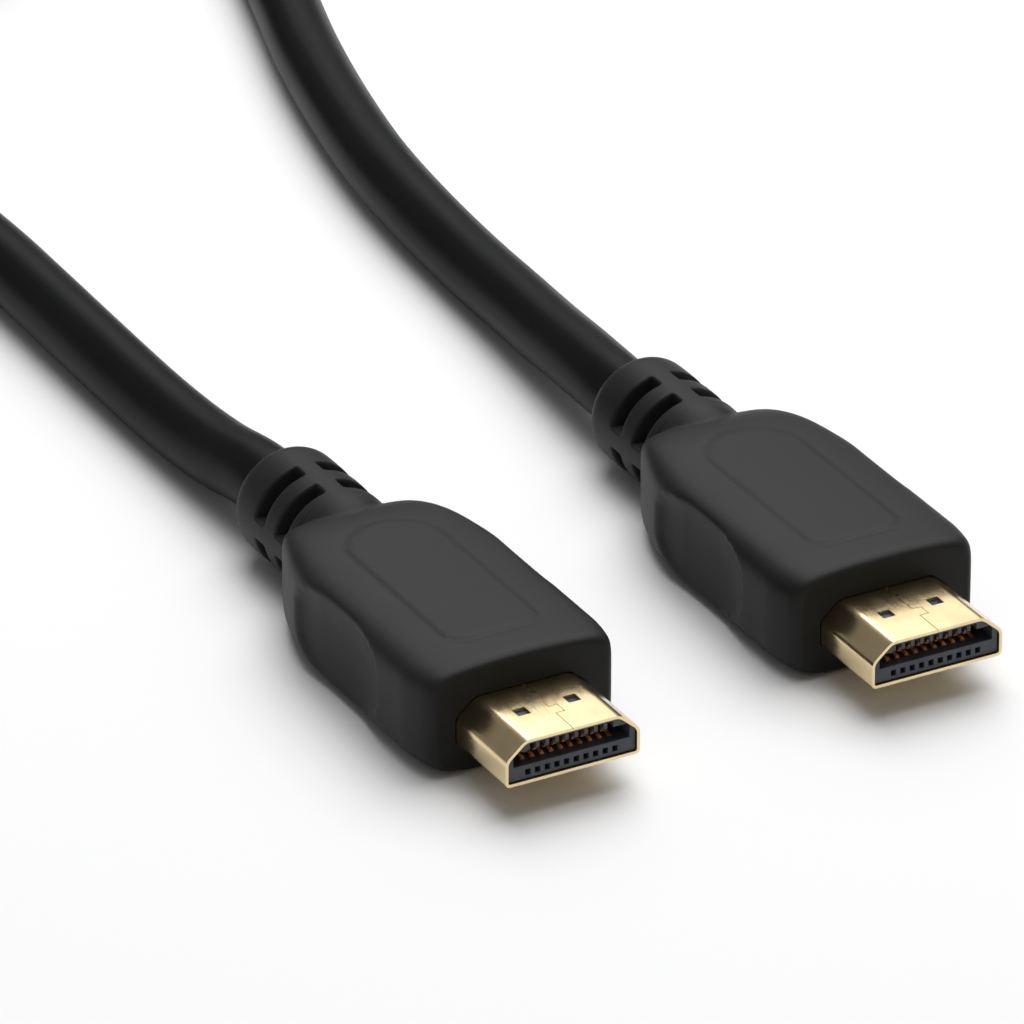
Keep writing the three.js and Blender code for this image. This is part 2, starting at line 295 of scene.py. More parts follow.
@dataclass(frozen=True)
class MouldedSatin(Finish):
    """Black satin moulding of the plug housings."""

    name: str = "moulded_satin"
    slot: str = "moulding"
    dark: tuple = (0.0145, 0.0146, 0.0142)
    light: tuple = (0.0215, 0.0216, 0.021)
    roughness: float = 0.46
    roughness_spread: float = 0.1
    cloud_size: float = 6 * MM
    grain_size: float = 0.16 * MM
    grain_depth: float = 0.006 * MM
    grain_detail: float = 1.0
    gloss_in_clouds: bool = True
    reflection: float = 0.12


@dataclass(frozen=True)
class CableJacket(Finish):
    """Smooth black jacket of the lead, with the lay of its cores showing through a little."""

    name: str = "cable_jacket"
    slot: str = "jacket"
    dark: tuple = (0.006, 0.0064, 0.0062)
    light: tuple = (0.0095, 0.0101, 0.0098)
    roughness: float = 0.33
    roughness_spread: float = 0.12
    cloud_size: float = 9 * MM
    grain_size: float = 0.3 * MM
    grain_depth: float = 0.008 * MM
    grain_detail: float = 1.0
    gloss_in_clouds: bool = True
    reflection: float = 0.05
    lay_size: float = 14 * MM
    lay_depth: float = 0.12 * MM

    def relief(self, graph: Graph, place: Signal, grain: Signal) -> Signal:
        """The normal tilted by the lay and the grain.

        Args:
            graph: The material's nodes.
            place: The coordinates.
            grain: The fine grain.

        Returns:
            The normal.
        """
        lay = graph.noise(place, self.lay_size, 0.0)
        return graph.bump(lay + grain * (self.grain_depth / self.lay_depth), self.lay_depth)


@dataclass(frozen=True)
class GoldPlate(Finish):
    """Bright gold plating on the shells, with rolling marks."""

    name: str = "gold_plate"
    slot: str = "gold_plate"
    dark: tuple = (0.74, 0.57, 0.31)
    light: tuple = (0.95, 0.77, 0.46)
    roughness: float = 0.2
    roughness_spread: float = 0.14
    cloud_size: float = 2.2 * MM
    grain_size: float = 0.22 * MM
    grain_depth: float = 0.004 * MM
    cloud_detail: float = 4.0
    grain_detail: float = 3.0
    grain_stretch: tuple = (0.12, 1.0, 1.0)
    metallic: float = 1.0


@dataclass(frozen=True)
class InsulatorPlastic(Finish):
    """Dark grey-blue plastic that holds the contacts."""

    name: str = "insulator_plastic"
    slot: str = "insulator"
    dark: tuple = (0.03, 0.034, 0.042)
    light: tuple = (0.075, 0.085, 0.105)
    roughness: float = 0.5
    roughness_spread: float = 0.15
    cloud_size: float = 1.4 * MM
    grain_size: float = 0.12 * MM
    grain_depth: float = 0.01 * MM


@dataclass(frozen=True)
class ContactPlate(Finish):
    """Thin gold on copper alloy, redder than the shell."""

    name: str = "contact_plate"
    slot: str = "contact_plate"
    dark: tuple = (0.62, 0.3, 0.14)
    light: tuple = (0.95, 0.62, 0.34)
    roughness: float = 0.4
    roughness_spread: float = 0.2
    cloud_size: float = 0.8 * MM
    grain_size: float = 0.1 * MM
    grain_depth: float = 0.004 * MM
    metallic: float = 1.0
    tone_low: float = 0.25
    tone_high: float = 0.7

    def tone(self, clouds: Signal) -> Signal:
        """The share of the light colour, with more of both tones."""
        return clouds.ramp(self.tone_low, self.tone_high)


@dataclass(frozen=True)
class TieWrap(Finish):
    """Matt black plastic around the tie's wire."""

    name: str = "tie_wrap"
    slot: str = "tie"
    dark: tuple = (0.008, 0.008, 0.009)
    light: tuple = (0.02, 0.02, 0.022)
    roughness: float = 0.55
    roughness_spread: float = 0.1
    cloud_size: float = 0.25 * MM
    grain_size: float = 0.25 * MM
    grain_depth: float = 0.02 * MM
    cloud_detail: float = 2.0


def finished_piece(
    name: str, mesh_data: bmesh.types.BMesh, material: bpy.types.Material
) -> bpy.types.Object:
    """Turns a bmesh into a smooth-shaded object at the origin.

    Args:
        name: The piece's name.
        mesh_data: The shape in metres, which is used up.
        material: Its finish.

    Returns:
        The new object.
    """
    mesh = bpy.data.meshes.new(name)
    mesh_data.to_mesh(mesh)
    mesh_data.free()
    mesh.materials.append(material)
    for face in mesh.polygons:
        face.use_smooth = True
    piece = bpy.data.objects.new(name, mesh)
    bpy.context.scene.collection.objects.link(piece)
    return piece


def install(piece: bpy.types.Object, slot: str, *nodes: str) -> None:
    """Fastens a piece to the part in place of its plain solids.

    Args:
        piece: The detailed piece.
        slot: The record's material slot; not used.
        *nodes: The solids that it stands for.
    """
    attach(piece, BODY)
    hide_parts(*nodes)
    log.info("%s: %d faces", piece.name, len(piece.data.polygons) if piece.type == "MESH" else 0)


def add_subdivision(piece: bpy.types.Object, levels: int) -> None:
    """Adds a live subdivision surface with equal view and render levels."""
    modifier = piece.modifiers.new("smooth", "SUBSURF")
    modifier.levels = levels
    modifier.render_levels = levels


def rounded_tube(corners: list[Vector], bend: float, wall: float, travel: Vector) -> bmesh.types.BMesh:
    """Bends a thin sheet round an outline.

    Args:
        corners: The outline's corners.
        bend: The size of the rounding at each corner.
        wall: The sheet's thickness, inside the outline.
        travel: The tube's length, as a vector.

    Returns:
        The closed tube with its two open mouths.
    """
    mesh = bmesh.new()
    verts = [mesh.verts.new(corner) for corner in corners]
    bmesh.ops.contextual_create(mesh, geom=verts)
    bmesh.ops.bevel(
        mesh,
        geom=verts,
        offset=bend,
        offset_type="OFFSET",
        segments=BEND_STEPS,
        profile=0.5,
        affect="VERTICES",
        material=-1,
    )
    bmesh.ops.inset_region(
        mesh, faces=mesh.faces[:], thickness=wall, use_boundary=True, use_even_offset=True
    )
    middle = max(mesh.faces, key=lambda face: len(face.verts))
    bmesh.ops.delete(mesh, geom=[middle], context="FACES_ONLY")
    grown = bmesh.ops.extrude_face_region(mesh, geom=mesh.faces[:])
    moved = [v for v in grown["geom"] if isinstance(v, bmesh.types.BMVert)]
    bmesh.ops.translate(mesh, verts=moved, vec=travel)
    bmesh.ops.recalc_face_normals(mesh, faces=mesh.faces)
    return mesh


@dataclass
class Loft:
    """A closed skin that is drawn through rings of points, one ring to a station."""

    mesh: bmesh.types.BMesh = field(default_factory=bmesh.new)
    ring: list[bmesh.types.BMVert] = field(default_factory=list)

    def start(self, points: list[Vector]) -> None:
        """Puts down the first ring and closes it with a face.

        Args:
            points: The ring's points, one for each angle.
        """
        made = bmesh.ops.create_circle(self.mesh, cap_ends=True, radius=1.0, segments=len(points))
        self.ring = sorted(made["verts"], key=lambda v: math.atan2(v.co.y, v.co.x))
        for vert, point in zip(self.ring, points):
            vert.co = point

    def draw(self, points: list[Vector]) -> None:
        """Draws the skin on to the next ring.

        Args:
            points: The next ring's points, one for each angle.
        """
        edges = [self._edge(a, b) for a, b in zip(self.ring, self.ring[1:] + self.ring[:1])]
        made = bmesh.ops.extrude_edge_only(self.mesh, edges=edges)
        new = {v for v in made["geom"] if isinstance(v, bmesh.types.BMVert)}
        self.ring = [next(e.other_vert(v) for e in v.link_edges if e.other_vert(v) in new) for v in self.ring]
        for vert, point in zip(self.ring, points):
            vert.co = point

    @staticmethod
    def _edge(first: bmesh.types.BMVert, second: bmesh.types.BMVert) -> bmesh.types.BMEdge:
        """The edge between two neighbours on the ring."""
        return next(e for e in first.link_edges if e.other_vert(first) is second)

    def close(self) -> bmesh.types.BMesh:
        """Closes the last ring with a face and points all faces outwards.

        Returns:
            The closed skin.
        """
        bmesh.ops.contextual_create(self.mesh, geom=self.ring)
        bmesh.ops.recalc_face_normals(self.mesh, faces=self.mesh.faces)
        return self.mesh


@dataclass
class Plug:
    """One moulded plug with its shell, insulator and contacts. Sizes are in millimetres.

    X runs along the plug from the housing's front face, and points out of it.
    """

    end: End
    spacing: float = 38.3
    housing_length: float = 47.3
    shell_exposed: float = 9.35
    body_length: float = 35.0
    body_height: float = 11.2
    half_width: float = 10.35
    front_half_width: float = 9.5
    front_taper: float = 4.5
    taper_power: float = 1.6
    front_edge: float = 1.3
    front_drop: float = 0.65
    crown: float = 0.69
    top_squareness: float = 8.5
    under_squareness: float = 5.0
    shoulder: float = 14.0
    shoulder_power: float = 1.57
    shoulder_top: float = 7.6
    shoulder_drop: float = 2.9
    neck_root: float = 5.0
    root_fall: float = 0.3
    neck_rings: tuple = (0.45, 0.08)
    neck_radius: float = 5.55
    collar_ease: float = 2.1
    collar_wall: float = 0.2
    cable_bore: float = 3.56
    bore_rings: tuple = (2.0, 1.2, 0.12)
    bore_ease: float = 0.1
    thumb_front: float = 8.8
    thumb_length: float = 17.0
    thumb_height: float = 8.9
    thumb_depth: float = 1.15
    thumb_squareness: float = 2.8
    thumb_power: float = 0.6
    slot_setbacks: tuple = (2.2, 6.2)
    slot_width: float = 1.7
    slot_depth: float = 1.85
    slot_ease: float = 0.16
    slot_rings: tuple = ((4.0, 0.0), (1.0, 0.0), (0.0, 0.06), (-0.5, 0.9), (-1.5, 1.0))
    rib_half_angle: float = 10.9
    rib_rings: tuple = (0.0, 1.0, 2.4)
    rib_slope: float = 2.0
    least_step: float = 0.9
    ring_points: int = 128
    collar_steps: int = 7
    shoulder_steps: int = 30
    side_steps: int = 58
    front_steps: int = 5
    face_shares: tuple = (0.06, 0.3, 0.6, 0.9, 0.985, 1.0)
    shell_width: float = 13.9
    shell_height: float = 4.45
    shell_wall: float = 0.3
    shell_narrow: float = 9.8
    shell_step: float = 0.45
    shell_bend: float = 0.5
    shell_edge: float = 0.05
    narrow_growth: float = 0.6
    step_growth: float = 0.4
    shell_gap: float = 0.05
    shell_seat: float = 1.0
    pocket_depth: float = 1.4
    pocket_lip: float = 0.05
    cutter_reach: float = 1.5
    latch_size: float = 1.3
    latch_spacing: float = 5.2
    latch_setback: float = 4.9
    notch_setbacks: tuple = (7.6, 8.8)
    notch_width: float = 0.9
    notch_length: float = 0.32
    outline_length: float = 24.0
    outline_width: float = 10.2
    outline_middle: float = -16.5
    outline_rear_radius: float = 4.9
    outline_front_radius: float = 2.4
    outline_edge: float = 0.4
    outline_rise: float = 0.1
    outline_groove: float = 0.14
    seam_width: float = 0.09
    seam_depth: float = 0.14
    seam_jog: float = 0.9
    seam_bends: tuple = (3.2, 4.6)
    angles: list[float] = field(init=False)

    def __post_init__(self) -> None:
        """Works out the angles of the housing's rings."""
        self.angles = self.ring_angles()

    @property
    def front_x(self) -> float:
        """Where the housing's front face is, in the part's frame."""
        return (self.housing_length - self.shell_exposed) / 2

    @property
    def middle_y(self) -> float:
        """Where the plug's axis is, in the part's frame."""
        return (-1 if self.end is End.LEFT else 1) * self.spacing / 2

    @property
    def axis_height(self) -> float:
        """Height of the plug's axis over the floor."""
        return self.body_height / 2

    def node(self, piece: str) -> str:
        """Name of one of this plug's nodes."""
        return f"{self.end.value}_plug_{piece}"

    def to_frame(self, x: float, y: float, z: float) -> Vector:
        """A point of the plug as a point of the part, in metres."""
        return Vector((x + self.front_x, y + self.middle_y, z)) * MM

    def ring_angles(self) -> list[float]:
        """Angles of the housing's rings: even steps, with pairs at the edges of the ribs.

        Returns:
            The angles, in rising order, in radians.
        """
        steps = [i * 2 * math.pi / self.ring_points for i in range(self.ring_points)]
        rib = math.radians(self.rib_half_angle)
        pairs = [math.radians(past) for past in self.rib_rings]
        extra = []
        for quarter in range(4):
            middle = quarter * math.pi / 2
            extra += [(middle + side * (rib + add)) % (2 * math.pi) for side in (-1, 1) for add in pairs]
        keep = [a for a in steps if all(abs(a - e) > math.radians(self.least_step) for e in extra)]
        return sorted(keep + extra)

    def rib_mask(self, angle: float) -> float:
        """Share of the slot's depth at an angle: nought on a rib, one between the ribs."""
        quarter = math.pi / 2
        off = abs((angle + quarter / 2) % quarter - quarter / 2)
        past = math.degrees(off) - self.rib_half_angle
        return min(1.0, max(0.0, past / self.rib_slope))

    def body_ring(self, x: float, half: float, inset: float = 0.0) -> list[Vector]:
        """One ring of the housing's body.

        Args:
            x: The station.
            half: Half the width there.
            inset: How far the outline is drawn in at the front edge.

        Returns:
            The ring's points.
        """
        behind = max(0.0, -x - (self.body_length - self.shoulder_top)) / self.shoulder_top
        dip = self.shoulder_drop * (1 - math.sqrt(max(0.0, 1 - behind**2)))
        root = self.neck_radius * (1 - self.root_fall * ((x + self.body_length) / self.neck_root) ** 2)
        points = []
        for angle in self.angles:
            c, s = math.cos(angle), math.sin(angle)
            square = self.top_squareness if s > 0 else self.under_squareness
            high = self.axis_height - inset - (dip if s > 0 else 0.0)
            reach = (abs(c / (half - inset)) ** square + abs(s / high) ** square) ** (-1 / square)
            if behind > 0:
                reach = max(reach, root)
            y, z = reach * c, reach * s
            if s > 0:
                z += self.outline_relief(x, y) - self.crown * (y / self.half_width) ** 2
            y -= math.copysign(self.thumb_dent(x, z), c) if abs(y) > self.half_width / 2 else 0.0
            points.append(self.to_frame(x, y, z + self.axis_height))
        return points

    def outline_relief(self, x: float, y: float) -> float:
        """Height of the oval outline on top: a fine groove round a pad that stands a little proud.

        Args:
            x: The station.
            y: The place across the plug.

        Returns:
            The height over the plain top.
        """
        along = x - self.outline_middle
        radius = self.outline_front_radius if along > 0 else self.outline_rear_radius
        out_x = abs(along) - self.outline_length / 2 + radius
        out_y = abs(y) - self.outline_width / 2 + radius
        outside = math.hypot(max(out_x, 0.0), max(out_y, 0.0)) + min(max(out_x, out_y), 0.0) - radius
        inner = min(1.0, max(0.0, 0.5 - outside / self.outline_edge))
        groove = max(0.0, 1 - abs(outside) / self.outline_edge)
        return self.outline_rise * inner**2 * (3 - 2 * inner) - self.outline_groove * groove

    def thumb_dent(self, x: float, z: float) -> float:
        """Depth of the thumb recess at a place on the side.

        Args:
            x: The station.
            z: The height over the plug's axis.

        Returns:
            The depth.
        """
        u = abs((x + self.thumb_front + self.thumb_length / 2) / (self.thumb_length / 2))
        v = abs(z / (self.thumb_height / 2))
        inside = 1 - u**self.thumb_squareness - v**self.thumb_squareness
        return self.thumb_depth * inside**self.thumb_power if inside > 0 else 0.0

    def collar_ring(self, x: float, radius: float, cut: float = 0.0) -> list[Vector]:
        """One ring of the neck or collar.

        Args:
            x: The station.
            radius: The radius on the ribs.
            cut: How much less it is in the slots.

        Returns:
            The ring's points.
        """
        points = []
        for angle in self.angles:
            reach = radius - cut * self.rib_mask(angle)
            height = reach * math.sin(angle) + self.axis_height
            points.append(self.to_frame(x, reach * math.cos(angle), height))
        return points

    def shell_ring(
        self, x: float, grow: float, share: float = 1.0, outer: list[Vector] | None = None
    ) -> list[Vector]:
        """A ring on the shell's outline, or part of the way to it from an outer ring.

        Args:
            x: The station.
            grow: How far outside the shell the ring lies.
            share: One on the shell's outline, nought on the outer ring.
            outer: The outer ring.

        Returns:
            The ring's points.
        """
        corners = self.shell_corners(grow)
        points = []
        for index, angle in enumerate(self.angles):
            hit = self._ray_hit(corners, angle)
            point = self.to_frame(x, hit.x, hit.y + self.axis_height)
            points.append(outer[index].lerp(point, share) if outer else point)
        return points

    def shell_corners(self, grow: float) -> list[Vector]:
        """Corners of the shell's section about its axis, grown outwards."""
        wide = self.shell_width / 2 + grow
        narrow = self.shell_narrow / 2 + grow * self.narrow_growth
        high = self.shell_height / 2 + grow
        step = self.shell_step + grow * self.step_growth
        half = [(wide, -high), (wide, step), (narrow, high)]
        return [Vector(p) for p in half] + [Vector((-y, z)) for y, z in reversed(half)]

    @staticmethod
    def _ray_hit(corners: list[Vector], angle: float) -> Vector:
        """Where a ray from the middle crosses a convex outline."""
        ray = Vector((math.cos(angle), math.sin(angle)))
        best = None
        for a, b in zip(corners, corners[1:] + corners[:1]):
            edge = b - a
            cross = ray.x * edge.y - ray.y * edge.x
            if abs(cross) < PARALLEL:
                continue
            reach = (a.x * edge.y - a.y * edge.x) / cross
            along = (a.x * ray.y - a.y * ray.x) / cross
            if reach > 0 and -EDGE_SLACK <= along <= 1 + EDGE_SLACK:
                best = reach if best is None else min(best, reach)
        return ray * best

    def housing_mesh(self) -> bmesh.types.BMesh:
        """The moulded housing with its collar, from the cable bore to the shell's pocket.

        Returns:
            The closed skin.
        """
        loft = Loft()
        end = -self.housing_length
        first, *others = self.bore_rings
        loft.start(self.collar_ring(end + first, self.cable_bore))
        for setback in others:
            loft.draw(self.collar_ring(end + setback, self.cable_bore))
        loft.draw(self.collar_ring(end, self.cable_bore + self.bore_ease))
        mouth = self.neck_radius - self.collar_ease
        for step in range(1, self.collar_steps + 1):
            a = step / self.collar_steps * math.pi / 2
            reach = max(self.cable_bore + self.collar_wall, mouth + self.collar_ease * math.sin(a))
            loft.draw(self.collar_ring(end + self.collar_ease * (1 - math.cos(a)), reach))
        for setback in sorted(self.slot_setbacks, reverse=True):
            self._draw_slots(loft, -(self.body_length + setback))
        self._draw_shoulders(loft)
        self._draw_sides(loft)
        self._draw_front(loft)
        return loft.close()

    def _draw_slots(self, loft: Loft, middle: float) -> None:
        """Draws the collar past one ring of slots."""
        half, ease = self.slot_width / 2, self.slot_ease
        radius, depth = self.neck_radius, self.slot_depth
        walls = [(half + ease * out, share) for out, share in self.slot_rings]
        for off, share in walls + [(-off, share) for off, share in reversed(walls)]:
            loft.draw(self.collar_ring(middle - off, radius, depth * share))

    def _draw_shoulders(self, loft: Loft) -> None:
        """Draws the neck's root and the round shoulders."""
        start = -(self.body_length - self.shoulder)
        for setback in self.neck_rings:
            loft.draw(self.collar_ring(-self.body_length - setback, self.neck_radius))
        for step in range(self.shoulder_steps + 1):
            a = (1 - step / self.shoulder_steps) * math.pi / 2
            swell = (1 - math.sin(a) ** self.shoulder_power) ** (1 / self.shoulder_power)
            half = self.neck_radius + (self.half_width - self.neck_radius) * swell
            loft.draw(self.body_ring(start - self.shoulder * math.sin(a), half))

    def _draw_sides(self, loft: Loft) -> None:
        """Draws the straight sides up to the front edge."""
        start, stop = -(self.body_length - self.shoulder), -self.front_edge
        for step in range(1, self.side_steps + 1):
            x = start + (stop - start) * step / self.side_steps
            loft.draw(self.body_ring(x, self._half_at(x)))

    def _half_at(self, x: float) -> float:
        """Half the body's width at a station, with the taper near the front."""
        near = max(0.0, 1 + x / self.front_taper)
        return self.half_width - (self.half_width - self.front_half_width) * near**self.taper_power

    def _draw_front(self, loft: Loft) -> None:
        """Draws the eased front edge, the front face and the shell's pocket."""
        ring = []
        for step in range(1, self.front_steps + 1):
            a = step / self.front_steps * math.pi / 2
            x = -self.front_edge * (1 - math.sin(a))
            inset = self.front_drop * (1 - math.cos(a))
            ring = self.body_ring(x, self._half_at(x), inset)
            loft.draw(ring)
        for share in self.face_shares:
            loft.draw(self.shell_ring(0.0, self.shell_gap, share, ring))
        for x in (-self.pocket_lip, -self.pocket_depth / 2, -self.pocket_depth):
            loft.draw(self.shell_ring(x, self.shell_gap))

    def shell_mesh(self) -> bmesh.types.BMesh:
        """The bent metal shell with its wall; the latch holes are cut into it later.

        Returns:
            The closed skin.
        """
        start = -self.shell_seat
        corners = [self.to_frame(start, c.x, c.y + self.axis_height) for c in self.shell_corners(0.0)]
        travel = Vector(((self.shell_seat + self.shell_exposed) * MM, 0, 0))
        return rounded_tube(corners, self.shell_bend * MM, self.shell_wall * MM, travel)

    def latch_cutter(self) -> bmesh.types.BMesh:
        """The blocks that cut the two latch holes, the two notches and the seam with its dovetail."""
        mesh = bmesh.new()
        half = self.latch_size / 2
        self._cut_top(mesh, self.latch_setback, -self.latch_spacing / 2, half, half)
        self._cut_top(mesh, self.latch_setback, self.latch_spacing / 2, half, half)
        for setback in self.notch_setbacks:
            self._cut_top(mesh, setback, 0.0, self.notch_length / 2, self.notch_width / 2)
        half, jog, (near, far) = self.seam_width / 2, self.seam_jog / 2, self.seam_bends
        for setback, y, half_x, half_y in (
            (near / 2 - half, 0.0, near / 2 + half, half),
            (near, jog, half, jog + half),
            ((near + far) / 2, 2 * jog, (far - near) / 2 + half, half),
            (far, jog, half, jog + half),
            ((far + self.shell_exposed) / 2, 0.0, (self.shell_exposed - far) / 2, half),
        ):
            self._cut_top(mesh, setback, y, half_x, half_y, self.seam_depth)
        upright = [e for e in mesh.edges if abs(e.verts[0].co.z - e.verts[1].co.z) > LEVEL]
        bmesh.ops.bevel(
            mesh,
            geom=upright,
            offset=self.seam_width / 4 * MM,
            segments=EDGE_STEPS,
            profile=0.5,
            affect="EDGES",
            material=-1,
        )
        return mesh

    def _cut_top(
        self,
        mesh: bmesh.types.BMesh,
        setback: float,
        y: float,
        half_x: float,
        half_y: float,
        depth: float | None = None,
    ) -> None:
        """Adds a block that cuts the shell's upper wall.

        Args:
            mesh: The cutter.
            setback: The block's middle, behind the shell's mouth.
            y: Its middle across the plug.
            half_x: Half its length.
            half_y: Half its width.
            depth: How deep it cuts, or nothing where it cuts through.
        """
        x = self.shell_exposed - setback
        z = self.axis_height + self.shell_height / 2
        low = self.to_frame(x - half_x, y - half_y, z - (depth or self.cutter_reach * self.shell_wall))
        add_box(mesh, low, self.to_frame(x + half_x, y + half_y, z + self.cutter_reach * self.shell_wall))

    def build(self, finishes: dict, pattern: dict[str, bpy.types.Object]) -> dict[str, bpy.types.Object]:
        """Builds and dresses the whole plug.

        Args:
            finishes: The materials by slot.
            pattern: The other plug's finished pieces, where it is built already.

        Returns:
            The plug's pieces by node.
        """
        pieces = {}
        for part, slot in (("housing", "moulding"), ("shell", "gold_plate")):
            name = f"{self.end.value}_{part}_skin"
            if part in pattern:
                pieces[part] = shifted_copy(pattern[part], name, Vector((0, self.spacing * MM, 0)))
            elif part == "housing":
                pieces[part] = finished_piece(name, self.housing_mesh(), finishes[slot])
            else:
                pieces[part] = finished_piece(name, self.shell_mesh(), finishes[slot])
                cutter = finished_piece("latch_cutter", self.latch_cutter(), finishes[slot])
                cut_with(pieces[part], cutter)
            if part == "housing":
                add_subdivision(pieces[part], 1)
            else:
                soften(pieces[part], self.shell_edge)
            install(pieces[part], slot, self.node(part))
        ContactBlock(self).build(finishes)
        return pieces


def shifted_copy(pattern: bpy.types.Object, name: str, shift: Vector) -> bpy.types.Object:
    """Repeats a piece somewhere else, with its place in its mesh.

    Args:
        pattern: The piece to repeat.
        name: The copy's name.
        shift: The way from the piece to its copy.

    Returns:
        The copy, without modifiers.
    """
    mesh = pattern.data.copy()
    mesh.transform(Matrix.Translation(shift))
    piece = bpy.data.objects.new(name, mesh)
    bpy.context.scene.collection.objects.link(piece)
    return piece


def cut_with(piece: bpy.types.Object, cutter: bpy.types.Object) -> None:
    """Cuts a piece with another shape, which is used up.

    Args:
        piece: The piece that is cut.
        cutter: The shape that is taken away.
    """
    modifier = piece.modifiers.new("cut", "BOOLEAN")
    modifier.operation = "DIFFERENCE"
    modifier.solver = "EXACT"
    modifier.use_self = True
    modifier.object = cutter
    apply_modifiers(piece)
    bpy.data.objects.remove(cutter)


def apply_modifiers(piece: bpy.types.Object) -> None:
    """Makes a piece's modified mesh its own."""
    graph = bpy.context.evaluated_depsgraph_get()
    mesh = bpy.data.meshes.new_from_object(piece.evaluated_get(graph))
    old = piece.data
    piece.modifiers.clear()
    piece.data = mesh
    mesh.name = old.name
    bpy.data.meshes.remove(old)


def soften(piece: bpy.types.Object, width: float) -> None:
    """Rounds a piece's sharp edges a little.

    Args:
        piece: The piece.
        width: The width of the rounding, in millimetres.
    """
    modifier = piece.modifiers.new("edges", "BEVEL")
    modifier.width = width * MM
    modifier.segments = EDGE_STEPS
    modifier.limit_method = "ANGLE"
    modifier.angle_limit = math.radians(SHARP_ANGLE)
    modifier.harden_normals = True


def add_box(mesh: bmesh.types.BMesh, low: Vector, high: Vector) -> None:
    """Adds a box between two corners."""
    scale = Matrix.Diagonal((*(high - low), 1))
    bmesh.ops.create_cube(mesh, size=1.0, matrix=Matrix.Translation((low + high) / 2) @ scale)


@dataclass
class ContactBlock:
    """The insulator in a shell, with its tongue slot, pockets and two rows of contacts. Millimetres."""

    plug: Plug
    setback: float = 0.25
    length: float = 9.6
    clearance: float = 0.06
    slot_width: float = 12.0
    slot_low: float = 5.17
    slot_high: float = 6.62
    slot_depth: float = 8.4
    pocket_half: float = 0.27
    pocket_low: float = 4.1
    pocket_high: float = 4.68
    pocket_depth: float = 0.9
    channel_half: float = 0.3
    channel_depth: float = 7.0
    wide_channel_low: float = 4.3
    narrow_channel_high: float = 7.22
    overlap: float = 0.1
    channel_gap: float = 0.2
    block_edge: float = 0.04
    pitch: float = 1.0
    wide_count: int = 10
    narrow_count: int = 9
    wide_heights: tuple = (4.75, 5.5)
    narrow_heights: tuple = (7.0, 5.6)
    bend_depths: tuple = (6.8, 3.4, 1.9, 1.55, 1.2, 0.95)
    strip_edge: float = 0.03
    strip_half: float = 0.21
    strip_thickness: float = 0.16

    @property
    def front(self) -> float:
        """Where the insulator's front face is."""
        return self.plug.shell_exposed - self.setback

    def places(self, row: Row) -> list[float]:
        """Where a row's contacts are across the plug."""
        count = self.wide_count if row is Row.WIDE else self.narrow_count
        return [(i - (count - 1) / 2) * self.pitch for i in range(count)]

    def insulator_mesh(self) -> bmesh.types.BMesh:
        """The block that fills the shell."""
        mesh = bmesh.new()
        corners = self.plug.shell_corners(-self.plug.shell_wall - self.clearance)
        points = [self.plug.to_frame(self.front, c.x, c.y + self.plug.axis_height) for c in corners]
        verts = [mesh.verts.new(point) for point in points]
        bmesh.ops.contextual_create(mesh, geom=verts)
        grown = bmesh.ops.extrude_face_region(mesh, geom=mesh.faces[:])
        moved = [v for v in grown["geom"] if isinstance(v, bmesh.types.BMVert)]
        bmesh.ops.translate(mesh, verts=moved, vec=Vector((-self.length * MM, 0, 0)))
        bmesh.ops.recalc_face_normals(mesh, faces=mesh.faces)
        return mesh

    def cut(self, mesh: bmesh.types.BMesh, depths: tuple, across: tuple, heights: tuple) -> None:
        """Adds one block to a cutter.

        Args:
            mesh: The cutter.
            depths: Its start and end behind the insulator's front face.
            across: Its two sides across the plug.
            heights: Its bottom and top over the floor.
        """
        low = self.plug.to_frame(self.front - depths[1], across[0], heights[0])
        high = self.plug.to_frame(self.front - depths[0], across[1], heights[1])
        add_box(mesh, low, high)

    def slot_cutter(self) -> bmesh.types.BMesh:
        """The tongue slot."""
        mesh = bmesh.new()
        half = self.slot_width / 2
        self.cut(mesh, (-self.overlap, self.slot_depth), (-half, half), (self.slot_low, self.slot_high))
        return mesh

    def channel_cutter(self) -> bmesh.types.BMesh:
        """The front pockets and the channels that the contacts lie in."""
        mesh = bmesh.new()
        low, high = self.slot_low + self.overlap, self.slot_high - self.overlap
        for y in self.places(Row.WIDE):
            pocket = (y - self.pocket_half, y + self.pocket_half)
            channel = (y - self.channel_half, y + self.channel_half)
            inner = self.pocket_depth + self.channel_gap
            self.cut(mesh, (-self.overlap, self.pocket_depth), pocket, (self.pocket_low, self.pocket_high))
            self.cut(mesh, (inner, self.channel_depth), channel, (self.wide_channel_low, low))
        for y in self.places(Row.NARROW):
            channel = (y - self.channel_half, y + self.channel_half)
            self.cut(mesh, (-self.overlap, self.channel_depth), channel, (high, self.narrow_channel_high))
        return mesh

    def contacts_mesh(self, row: Row) -> bmesh.types.BMesh:
        """One row of bent contact strips.

        Args:
            row: The row.

        Returns:
            The closed strips.
        """
        rail, bow = self.wide_heights if row is Row.WIDE else self.narrow_heights
        heights = (rail, rail, bow, bow, (rail + 2 * bow) / 3, (rail + bow) / 2)
        bends = list(zip(self.bend_depths, heights))
        half = self.strip_thickness / 2
        mesh = bmesh.new()
        for y in self.places(row):
            outline = [(depth, height + half) for depth, height in bends]
            outline += [(depth, height - half) for depth, height in reversed(bends)]
            side = y - self.strip_half
            points = [self.plug.to_frame(self.front - depth, side, height) for depth, height in outline]
            verts = [mesh.verts.new(point) for point in points]
            made = bmesh.ops.contextual_create(mesh, geom=verts)
            grown = bmesh.ops.extrude_face_region(mesh, geom=made["faces"])
            moved = [v for v in grown["geom"] if isinstance(v, bmesh.types.BMVert)]
            bmesh.ops.translate(mesh, verts=moved, vec=Vector((0, 2 * self.strip_half * MM, 0)))
        bmesh.ops.recalc_face_normals(mesh, faces=mesh.faces)
        return mesh

